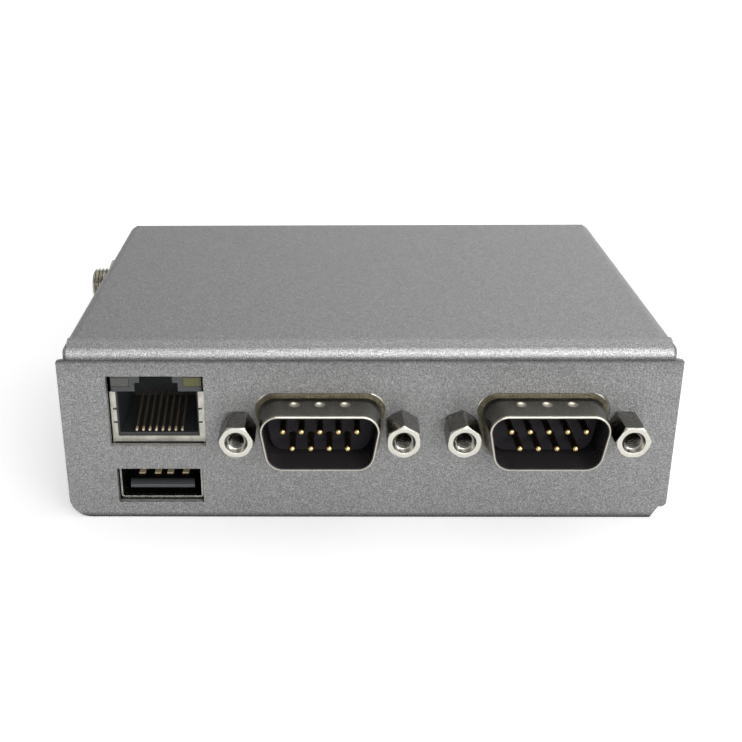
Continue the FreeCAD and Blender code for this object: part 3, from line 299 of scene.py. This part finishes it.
# Serial port shell: smoky tin with painted light and shade along its length: painted shade by
# the panel, a painted reflection that makes it paler at the root and a painted highlight on the
# rim. Painted glints brighten it where the three pressed dimples lie, and painted shade makes its
# inner side near-black and not metallic. A tone is given at each Y. A point is on the inner side
# where its normal points to the port's middle.
shell = {"dimpleY": -32.2, "dimplePitch": 3.8, "dimpleHalf": 0.84, "dimpleSoft": 0.8,
         "roofZ": (3.0, 3.5), "rough": 0.20, "edge": 0.08, "cloud": 1.8, "cloudDark": 0.85,
         "colour": (0.78, 0.74, 0.63), "innerShade": (0.040, 0.036, 0.038), "innerShadeBelow": (-1.0, -0.5),
         "paintedTones": [(-35.85, 0.92), (-35.70, 0.80), (-35.56, 0.50), (-35.4, 0.21),
                   (-33.5, 0.16), (-30.35, 0.10), (-30.1, 1.0), (-29.0, 1.0)]}


def mixOf(tree, factor, first, second):
    mix = addNode(tree, "Mix", data_type="RGBA")
    tree.links.new(factor, mix.inputs["Factor"])
    for socket, value in (("A", first), ("B", second)):
        if isinstance(value, tuple):
            mix.inputs[socket].default_value = (*value, 1)
        else:
            tree.links.new(value, mix.inputs[socket])
    return mix.outputs["Result"]


def makeShell(name, node):
    low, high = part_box(node)
    middle = ((low[0] + high[0]) / 2, 0, (low[2] + high[2]) / 2)
    material, tree, shader = newMaterial(name, {"Metallic": 1.0,
                                                "Roughness": shell["rough"]})
    coords = addNode(tree, "TexCoord")
    y = axisOf(tree, "Y")
    offset = vectorOf(tree, "SUBTRACT", coords.outputs["Object"], middle)
    apart = addNode(tree, "SeparateXYZ")
    tree.links.new(offset, apart.inputs["Vector"])

    first, last = shell["paintedTones"][0][0], shell["paintedTones"][-1][0]
    along = rangeOf(tree, y, first * mm, last * mm, 0, 1)
    paintedTone = rampOf(tree, along, [((at - first) / (last - first), grey(level))
                                for at, level in shell["paintedTones"]])
    clouds = noiseOf(tree, objectCoords(tree), shell["cloud"] * mm, 2)
    cloudy = tuple(part * shell["cloudDark"] for part in shell["colour"])
    tin = rampOf(tree, clouds, [(0.3, cloudy), (0.65, shell["colour"])])

    # painted dimple glints: bright discs that repeat along X, kept to the middle three on the roof
    half, pitch = shell["dimpleHalf"] * mm, shell["dimplePitch"] * mm
    spot = addNode(tree, "CombineXYZ")
    tree.links.new(mathOf(tree, "WRAP", apart.outputs["X"], pitch / 2, -pitch / 2),
                   spot.inputs["X"])
    tree.links.new(mathOf(tree, "SUBTRACT", y, shell["dimpleY"] * mm), spot.inputs["Y"])
    away = vectorOf(tree, "LENGTH", spot.outputs["Vector"], output="Value")
    width = mathOf(tree, "ABSOLUTE", apart.outputs["X"])
    dimpleGlint = rangeOf(tree, away, half * shell["dimpleSoft"], half, 1, 0)
    for limit in (rangeOf(tree, width, pitch * 1.5 - 0.1 * mm, pitch * 1.5, 1, 0),
                  rangeOf(tree, apart.outputs["Z"], *(z * mm for z in shell["roofZ"]), 0, 1)):
        dimpleGlint = mathOf(tree, "MULTIPLY", dimpleGlint, limit)

    flat = vectorOf(tree, "MULTIPLY", offset, (1, 0, 1))
    facing = vectorOf(tree, "DOT_PRODUCT", flat, coords.outputs["Normal"], output="Value")
    outer = rangeOf(tree, facing, *(limit * mm for limit in shell["innerShadeBelow"]), 0, 1)
    # painted glints at the dimples, painted tones elsewhere, painted shade on the inner side
    plated = mixOf(tree, dimpleGlint, multiplied(tree, tin, paintedTone), tin)
    tree.links.new(mixOf(tree, outer, shell["innerShade"], plated), shader.inputs["Base Color"])
    tree.links.new(outer, shader.inputs["Metallic"])
    tree.links.new(softEdges(tree, shell["edge"] * mm), shader.inputs["Normal"])
    return material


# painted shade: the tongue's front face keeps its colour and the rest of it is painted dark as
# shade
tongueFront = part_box("usb_tongue")[0][1] / mm
tongueShade = (tongueFront + 0.1, tongueFront + 0.5)
materials = {
    "coat": makeCoat(),
    "leftShell": makeShell("leftPortShell", "com1_shell"),
    "rightShell": makeShell("rightPortShell", "com2_shell"),
    "paleTin": makeMetal("paleTinnedShield", (0.70, 0.68, 0.60), 0.36),
    # painted shade inside the USB shell, darker towards its back
    "usbTin": makeMetal("usbShellTin", (0.84, 0.82, 0.74), 0.28, shadeAlongY=(-29.4, -28.2),
                        least=0.3),
    "nickel": makeMetal("nickelPlate", (0.50, 0.48, 0.40), 0.20, amount=0.45),
    # painted shade on the jackscrews' flats and bores, by their shade attribute
    "screwNickel": makeMetal("jackscrewNickel", (0.84, 0.82, 0.74), 0.24, amount=0.08,
                             height=0.001, shadeAttribute="jackShade"),
    # painted shade on the pins' shafts deep in the port, leaving the tips gold
    "pinGold": makeMetal("pinGold", (0.80, 0.60, 0.29), 0.24, edge=0.04, amount=0.25,
                         shadeAlongY=(-34.9, -34.3), least=0.2),
    # painted shade on the Ethernet contacts deeper in the socket
    "wireGold": makeMetal("wireGold", (0.72, 0.58, 0.40), 0.35, edge=0.03, amount=0.3,
                          shadeAlongY=(-28.1, -27.6), least=0.10, metallic=0.4),
    "contactGold": makeMetal("contactGold", (0.90, 0.72, 0.45), 0.36, edge=0.03, amount=0.15,
                             metallic=0.45),
    "zinc": makeMetal("zincPlate", (0.66, 0.67, 0.69), 0.3),
    "gold": makeMetal("goldPlate", (0.86, 0.62, 0.27), 0.24, edge=0.04, amount=0.25),
    "aluminium": makeMetal("milledAluminium", (0.72, 0.73, 0.74), 0.34, stretch=20),
    "cellSteel": makeMetal("cellSteel", (0.75, 0.74, 0.72), 0.2),
    "blackNylon": makePlastic("blackNylon", (0.012, 0.012, 0.015), 0.42),
    "portNylon": makePlastic("portInsulatorNylon", (0.020, 0.018, 0.021), 0.6,
                             **{"Specular IOR Level": 0.12}),
    # painted shade deeper in the Ethernet socket
    "darkNylon": makePlastic("darkSocketNylon", (0.052, 0.054, 0.056), 0.4,
                             shadeAlongY=(-28.7, -28.3), least=0.55),
    # painted shade on the tongue behind its front face and above its upper part
    "greyNylon": makePlastic("greyTongueNylon", (0.068, 0.073, 0.077), 0.42,
                             shadeAlongY=tongueShade, least=0.12, shadeAbove=(4.85, 0.4)),
    "clearPipe": makePlastic("clearLightPipe", (0.10, 0.10, 0.092), 0.3,
                             **{"Transmission Weight": 0.2, "IOR": 1.49}),
    "greenPipe": makePlastic("greenLightPipe", (0.12, 0.115, 0.04), 0.3,
                             **{"Transmission Weight": 0.2, "IOR": 1.49}),
    "ptfe": makePlastic("whiteInsulator", (0.78, 0.78, 0.75), 0.4),
    "epoxy": makePlastic("chipEpoxy", (0.03, 0.03, 0.033), 0.5, grain=0.2),
    "thermalRubber": makePlastic("thermalRubber", (0.25, 0.3, 0.38), 0.7, grain=0.3),
    "cable": makePlastic("cableJacket", (0.02, 0.02, 0.02), 0.4),
    "board": makeBoard(),
}
print("materials made:", len(materials))

# which nodes take which finish
dress = {
    "coat": ["cover", "base_plate"],
    "leftShell": ["com1_shell"],
    "rightShell": ["com2_shell"],
    "paleTin": ["lan_shield", "wireless_module"],
    "usbTin": ["usb_shell"],
    "nickel": ["jackscrews", "sma_body", "sma_nut", "sma_washer", "inlet_pin", "inlet_spring"],
    "zinc": ["case_screws", "board_standoffs", "board_screws", "com_nuts"],
    "gold": ["sma_contact", "antenna_plug"],
    "contactGold": ["usb_contacts"],
    "pinGold": ["com1_pins", "com2_pins"],
    "wireGold": ["lan_contacts"],
    "aluminium": ["heat_spreader", "power_capacitors"],
    "cellSteel": ["coin_cell"],
    "blackNylon": ["inlet_body", "coin_cell_holder"],
    "portNylon": ["com1_insulator", "com2_insulator"],
    "darkNylon": ["lan_housing"],
    "greyNylon": ["usb_tongue"],
    "clearPipe": ["lan_led_left"],
    "greenPipe": ["lan_led_right"],
    "ptfe": ["sma_insulator"],
    "epoxy": ["processor", "memory_chips", "flash_chip", "lan_controller",
              "serial_transceivers", "power_inductors"],
    "thermalRubber": ["processor_pad", "cover_pad"],
    "cable": ["antenna_lead"],
    "board": ["main_board"],
}
for finish, names in dress.items():
    for name in names:
        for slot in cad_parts[name].material_slots:
            slot.material = materials[finish]
print("nodes dressed:", sum(len(names) for names in dress.values()))


# Faces over rings of points [ring, step, xyz]: each ring is a closed loop, neighbouring rings
# are joined by four-sided faces, and a closed end is a fan to its middle.
def ringMesh(points, closedEnds=True):
    rings, steps = points.shape[:2]
    ring, step = np.meshgrid(np.arange(rings - 1), np.arange(steps), indexing="ij")
    after = (step + 1) % steps
    quads = np.stack([ring * steps + step, ring * steps + after, (ring + 1) * steps + after,
                      (ring + 1) * steps + step], axis=-1).reshape(-1, 4)
    places = points.reshape(-1, 3)
    if not closedEnds:
        return places, quads, np.zeros((0, 3), int)
    around = np.arange(steps)
    following = (around + 1) % steps
    lastRing = (rings - 1) * steps
    centres = np.stack([points[0].mean(axis=0), points[-1].mean(axis=0)])
    startFan = np.stack([following, around, np.full(steps, len(places))], axis=-1)
    endFan = np.stack([lastRing + around, lastRing + following,
                       np.full(steps, len(places) + 1)], axis=-1)
    return np.vstack([places, centres]), quads, np.vstack([startFan, endFan])


sharpAngle = 38  # degrees, past which an edge stays sharp


# One object from several ring surfaces. Faces are turned outward by the sign of each closed
# surface's volume, which is a sum of corner triple products.
def addSurface(name, parts, finish):
    allPlaces, allFaces, start = [], [], 0
    for places, quads, fans in parts:
        triangles = np.vstack([quads[:, [0, 1, 2]], quads[:, [0, 2, 3]], fans])
        a, b, c = (places[triangles[:, corner]] for corner in range(3))
        if np.einsum("ij,ij->i", a, np.cross(b, c)).sum() < 0:
            quads, fans = quads[:, ::-1], fans[:, ::-1]
        allPlaces.append(places)
        allFaces += (quads + start).tolist() + (fans + start).tolist()
        start += len(places)
    mesh = bpy.data.meshes.new(name)
    mesh.from_pydata(np.vstack(allPlaces).tolist(), [], allFaces)
    mesh.materials.append(materials[finish])
    mesh.shade_smooth()
    mesh.set_sharp_from_angle(angle=math.radians(sharpAngle))
    piece = bpy.data.objects.new(name, mesh)
    bpy.context.scene.collection.objects.link(piece)
    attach(piece, "root")
    return piece


# Rings round an axis: the centre, plus each ring's depth times the axis, plus its radius times
# cosine and sine on the two cross directions. Each row of rings is a depth and a radius, plain
# or one for each angle, in millimetres.
def turnedPart(centre, along, rings, angles):
    depths = np.array([depth for depth, radius in rings]) * mm
    radii = np.array([np.broadcast_to(radius, len(angles)) for depth, radius in rings]) * mm
    along, side = np.array(along, float), np.array((0.0, 0.0, 1.0))
    other = np.cross(along, side)
    return (np.array(centre, float) + depths[:, None, None] * along
            + (radii * np.cos(angles))[..., None] * side
            + (radii * np.sin(angles))[..., None] * other)


# Distance from the axis to a hexagon's side: half the flats over the cosine of the angle from
# the nearest flat's middle.
def hexRadius(angles, flats, roll):
    sixth = math.pi / 3
    return flats / 2 / np.cos((angles - roll + sixth / 2) % sixth - sixth / 2)


# A rounded V thread from 0 to 1: the distance to the nearest crest as the helix climbs one
# pitch in each turn.
def threadWave(depth, angles, pitch):
    turn = (depth / pitch - angles / (2 * math.pi)) % 1.0
    ridge = 1 - np.abs(2 * turn - 1)
    return ridge * ridge * (3 - 2 * ridge)


# Jackscrews: chamfered hexagons with a countersunk, threaded bore, each stopped at its own turn.
jack = {"flats": 4.8, "reach": 5.4, "face": 2.47, "chamfer": 0.34, "crown": 0.03, "brim": 0.1,
        "sink": 1.72, "sinkBrim": 0.12, "sinkWall": 0.06, "sinkDepth": 0.5, "bore": 1.13,
        "root": 1.42, "pitch": 0.635, "boreDepth": 4.6, "stud": 1.4, "studLength": 5.0,
        "spacing": 24.99, "turns": (0, 30, 24, 0), "sides": 96, "fine": 0.03}


def jackscrewPart(place, turn):
    angles = np.linspace(0, 2 * math.pi, jack["sides"], endpoint=False)
    across = hexRadius(angles, jack["flats"], math.radians(turn))
    corner = jack["flats"] / math.sqrt(3)
    reach, fine = jack["reach"], jack["fine"]
    ramp = np.linspace(0, 1, 6)
    bevel = np.minimum(across, jack["face"] + ramp[:, None] * (corner - jack["face"]))
    rings = [(-jack["studLength"], jack["stud"]), (0, jack["stud"])]
    rings += list(zip(ramp * jack["chamfer"], bevel))
    rings += list(zip(reach - ramp[::-1] * jack["chamfer"], bevel[::-1]))
    # the turned face is slightly crowned from its outer brim to the countersink's
    soft = np.linspace(0, 1, 5)[1:]
    outer, inner = jack["face"] - jack["brim"], jack["sink"] + jack["sinkBrim"]
    rings += list(zip(reach + jack["crown"] * np.sin(soft * math.pi),
                      outer + (inner - jack["face"]) * soft))
    threadStart = reach - jack["sinkDepth"]
    rings += [(reach - jack["sinkWall"], jack["sink"]), (threadStart, jack["root"] - fine)]
    inside = np.arange(threadStart - fine, reach - jack["boreDepth"], -jack["pitch"] / 9)
    wave = threadWave(inside[:, None], angles, jack["pitch"])
    rings += list(zip(inside, jack["bore"] + (jack["root"] - jack["bore"]) * wave))
    rings.append((inside[-1] - 0.02, jack["bore"] / 2))
    return ringMesh(turnedPart(place, (0, -1, 0), rings, angles))


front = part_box("cover")[0][1]
jackParts, jackAxes = [], []
for port, turns in (("com1_shell", jack["turns"][:2]), ("com2_shell", jack["turns"][2:])):
    low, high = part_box(port)
    middle = (low[0] + high[0]) / 2
    for side, turn in zip((-1, 1), turns):
        x, z = middle + side * jack["spacing"] * mm / 2, (low[2] + high[2]) / 2
        jackAxes.append((x, z))
        jackParts.append(jackscrewPart((x, front, z), turn))
jackscrews = addSurface("threadedJackscrews", jackParts, "screwNickel")
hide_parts("jackscrews")


# Painted shade on each point of the jackscrews, from 0 on the turned face, which keeps its full
# colour, to 1: flats are painted dark, and a bore is painted darker the deeper it lies. The slacks
# are in metres.
jackShade = {"flat": 0.84, "mouth": 0.50, "deep": 0.84, "depth": 1.4 * mm, "slack": 0.02 * mm,
        "flatSlack": 0.03 * mm}


def markJackShade(piece, axes):
    mesh = piece.data
    places = np.empty(len(mesh.vertices) * 3)
    mesh.vertices.foreach_get("co", places)
    places = places.reshape(-1, 3)
    offsets = places[:, None, [0, 2]] - np.array(axes)
    away = np.sqrt((offsets ** 2).sum(axis=2)).min(axis=1)
    depth = places[:, 1] - (front - jack["reach"] * mm)
    bore = jackShade["mouth"] + (jackShade["deep"] - jackShade["mouth"]) * np.clip(depth / jackShade["depth"], 0, 1)
    onFlat = depth > jack["chamfer"] * mm - jackShade["flatSlack"]
    inBore = away < jack["root"] * mm + jackShade["slack"]
    inSink = (away < jack["sink"] * mm + jackShade["slack"]) & (depth > jackShade["slack"])
    values = np.where(inBore | inSink, bore, np.where(onFlat, jackShade["flat"], 0))
    mesh.attributes.new("jackShade", "FLOAT", "POINT").data.foreach_set("value", values)


markJackShade(jackscrews, jackAxes)
print("jackscrews turned")


# Antenna connector: a threaded barrel with a bevelled mouth, its flange and tail in the case.
antenna = {"major": 3.15, "minor": 2.74, "pitch": 0.7056, "sides": 72, "bevelSlope": 1.1,
           "collar": 2.85, "neck": 2.88, "neckEnd": 3.6, "neckSlope": 2,
           "bore": 2.3, "boreBevel": (0.14, 0.12), "boreDepth": 4.95, "channel": 0.69,
           "flange": 4.4, "flangeThick": 1.5, "tail": 2.0, "tailLength": 4.5}


def antennaBody():
    low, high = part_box("sma_body")
    behind = antenna["flangeThick"] + antenna["tailLength"]
    centre = (high[0] - behind * mm, (low[1] + high[1]) / 2, (low[2] + high[2]) / 2)
    reach = (centre[0] - low[0]) / mm
    angles = np.linspace(0, 2 * math.pi, antenna["sides"], endpoint=False)
    rings = [(-behind, antenna["tail"]), (-antenna["flangeThick"], antenna["tail"]),
             (-antenna["flangeThick"], antenna["flange"]), (0, antenna["flange"]),
             (0, antenna["collar"])]
    # the thread, cut down to the bevel at the mouth and to the smooth neck by the flange
    threaded = np.arange(0.1, reach - 0.02, antenna["pitch"] / 10)
    wave = threadWave(threaded[:, None], angles, antenna["pitch"])
    thread = antenna["minor"] + (antenna["major"] - antenna["minor"]) * wave
    bevel = antenna["minor"] - 0.05 + (reach - threaded)[:, None] * antenna["bevelSlope"]
    pastNeck = np.clip(threaded - antenna["neckEnd"], 0, 1)[:, None]
    neck = antenna["neck"] + pastNeck * antenna["neckSlope"]
    rings += list(zip(threaded, np.minimum(np.minimum(thread, bevel), neck)))
    bevelDeep, bevelWide = antenna["boreBevel"]
    boreEnd = reach - antenna["boreDepth"]
    rings += [(reach, antenna["minor"] - 0.1), (reach, antenna["bore"] + bevelWide),
              (reach - bevelDeep, antenna["bore"]), (boreEnd, antenna["bore"]),
              (boreEnd, antenna["channel"]), (0.2, antenna["channel"])]
    return ringMesh(turnedPart(centre, (-1, 0, 0), rings, angles))


# The antenna's hexagonal nut, bevelled at both ends and inside both mouths.
nut = {"flats": 8.5, "thick": 2.1, "bore": 2.98, "turn": 34, "bevel": 0.3, "face": 0.08,
       "mouth": 0.15, "sides": 96}


def antennaNut():
    low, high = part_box("sma_nut")
    centre = (high[0], (low[1] + high[1]) / 2, (low[2] + high[2]) / 2)
    angles = np.linspace(0, 2 * math.pi, nut["sides"], endpoint=False)
    across = hexRadius(angles, nut["flats"], math.radians(nut["turn"]))
    face, corner = nut["flats"] / 2 - nut["face"], nut["flats"] / math.sqrt(3)
    ramp = np.linspace(0, 1, 5)
    bevel = np.minimum(across, face + ramp[:, None] * (corner - face))
    thick, mouth, bore = nut["thick"], nut["mouth"], nut["bore"]
    rings = [(mouth, bore), (0, bore + mouth)]
    rings += list(zip(ramp * nut["bevel"], bevel))
    rings += list(zip(thick - ramp[::-1] * nut["bevel"], bevel[::-1]))
    rings += [(thick, bore + mouth), (thick - mouth, bore), (mouth, bore)]
    return ringMesh(turnedPart(centre, (-1, 0, 0), rings, angles), closedEnds=False)


antennaBarrel = addSurface("threadedAntennaBarrel", [antennaBody()], "nickel")
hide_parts("sma_body")
antennaHex = addSurface("antennaHexNut", [antennaNut()], "nickel")
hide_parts("sma_nut")
print("antenna connector threaded")


# Floor, world and lamps. Floor sizes are in metres.
studio = {"floorHalf": 2.5, "floorGrey": 0.9, "nearReach": 0.10, "farReach": 0.28,
          "floorNear": 0.40, "floorGloss": 0.25, "worldLevel": 0.42, "glossLevel": 0.72,
          "lean": 1.05, "aim": (0, 0, 0.02)}


def makeFloor():
    half = studio["floorHalf"]
    mesh = bpy.data.meshes.new("floor")
    mesh.from_pydata([(-half, -half, 0), (half, -half, 0), (half, half, 0), (-half, half, 0)],
                     [], [(0, 1, 2, 3)])
    floor = bpy.data.objects.new("floor", mesh)
    bpy.context.scene.collection.objects.link(floor)
    material, tree, shader = newMaterial("paleFloor", {
        "Roughness": 0.9, "Base Color": (*grey(studio["floorGrey"]), 1),
        "Emission Color": (1, 1, 1, 1)})
    # white to the camera and a little in gloss, except round the object, where its shadow shows
    coords = addNode(tree, "TexCoord")
    reach = vectorOf(tree, "LENGTH", coords.outputs["Object"], output="Value")
    glow = rangeOf(tree, reach, studio["nearReach"], studio["farReach"],
                   studio["floorNear"], 1.0)
    path = addNode(tree, "LightPath")
    inGloss = rangeOf(tree, path.outputs["Is Glossy Ray"], 0, 1, 0, studio["floorGloss"])
    seen = mathOf(tree, "MAXIMUM", path.outputs["Is Camera Ray"], inGloss)
    tree.links.new(mathOf(tree, "MULTIPLY", glow, seen), shader.inputs["Emission Strength"])
    mesh.materials.append(material)


def makeWorld():
    # white to the camera, and a calmer level for the light on the object, less from its left
    world = bpy.data.worlds.new("studioWorld")
    bpy.context.scene.world = world
    world.use_nodes = True
    tree = world.node_tree
    background = tree.nodes["Background"]
    path = addNode(tree, "LightPath")
    seen = mathOf(tree, "MAXIMUM", path.outputs["Is Camera Ray"],
                  path.outputs["Is Transmission Ray"])
    calm = rangeOf(tree, path.outputs["Is Glossy Ray"], 0, 1, studio["worldLevel"],
                   studio["glossLevel"])
    coords = addNode(tree, "TexCoord")
    apart = addNode(tree, "SeparateXYZ")
    tree.links.new(coords.outputs["Generated"], apart.inputs["Vector"])
    leaning = rangeOf(tree, apart.outputs["X"], -0.5, 0.5, 1 - studio["lean"] / 2,
                      1 + studio["lean"] / 2)
    level = mathOf(tree, "MAXIMUM", mathOf(tree, "MULTIPLY", calm, leaning), seen)
    tree.links.new(level, background.inputs["Strength"])
    background.inputs["Color"].default_value = (1, 1, 1, 1)


def addLamp(name, place, size, power):
    lamp = bpy.data.lights.new(name, "AREA")
    lamp.shape = "RECTANGLE"
    lamp.size, lamp.size_y = size
    lamp.energy = power
    holder = bpy.data.objects.new(name, lamp)
    direction = Vector(studio["aim"]) - Vector(place)
    holder.matrix_world = (Matrix.Translation(place)
                           @ direction.to_track_quat("-Z", "Y").to_matrix().to_4x4())
    bpy.context.scene.collection.objects.link(holder)


makeFloor()
makeWorld()
addLamp("frontLamp", (0.34, -0.87, 0.36), (1.1, 0.36), 7.6)
addLamp("overheadLamp", (0.25, 0.25, 0.95), (1.2, 1.2), 3.0)

# The camera stands low in front, a little to the left of the middle. Its place is in
# millimetres and its turns in radians. Its focal length and centre are in the same units as
# the width of the picture.
view = {"place": (-5.475, -171.111, 93.622), "yaw": 0.0152, "pitch": 0.3659, "roll": 0.0075,
        "focal": 1038.6741, "centre": (317.0898, 284.6047), "picture": 742, "sensor": 36,
        "nearest": 5 * mm}


def makeCamera():
    data = bpy.data.cameras.new("camera")
    data.sensor_width = view["sensor"]
    data.sensor_fit = "HORIZONTAL"
    data.lens = view["focal"] / view["picture"] * view["sensor"]
    data.shift_x = 0.5 - view["centre"][0] / view["picture"]
    data.shift_y = view["centre"][1] / view["picture"] - 0.5
    data.clip_start = view["nearest"]
    camera = bpy.data.objects.new("camera", data)
    yaw, pitch, roll = view["yaw"], view["pitch"], view["roll"]
    ahead = Vector((-math.sin(yaw) * math.cos(pitch), math.cos(yaw) * math.cos(pitch),
                    -math.sin(pitch)))
    right = Vector((math.cos(yaw), math.sin(yaw), 0))
    down = ahead.cross(right)
    rolledRight = right * math.cos(roll) + down * math.sin(roll)
    rolledDown = down * math.cos(roll) - right * math.sin(roll)
    turned = Matrix((rolledRight, -rolledDown, -ahead)).transposed().to_4x4()
    camera.matrix_world = Matrix.Translation(Vector(view["place"]) * mm) @ turned
    bpy.context.scene.collection.objects.link(camera)
    bpy.context.scene.camera = camera


makeCamera()
bpy.context.scene.view_settings.view_transform = "Standard"
print("stage set")
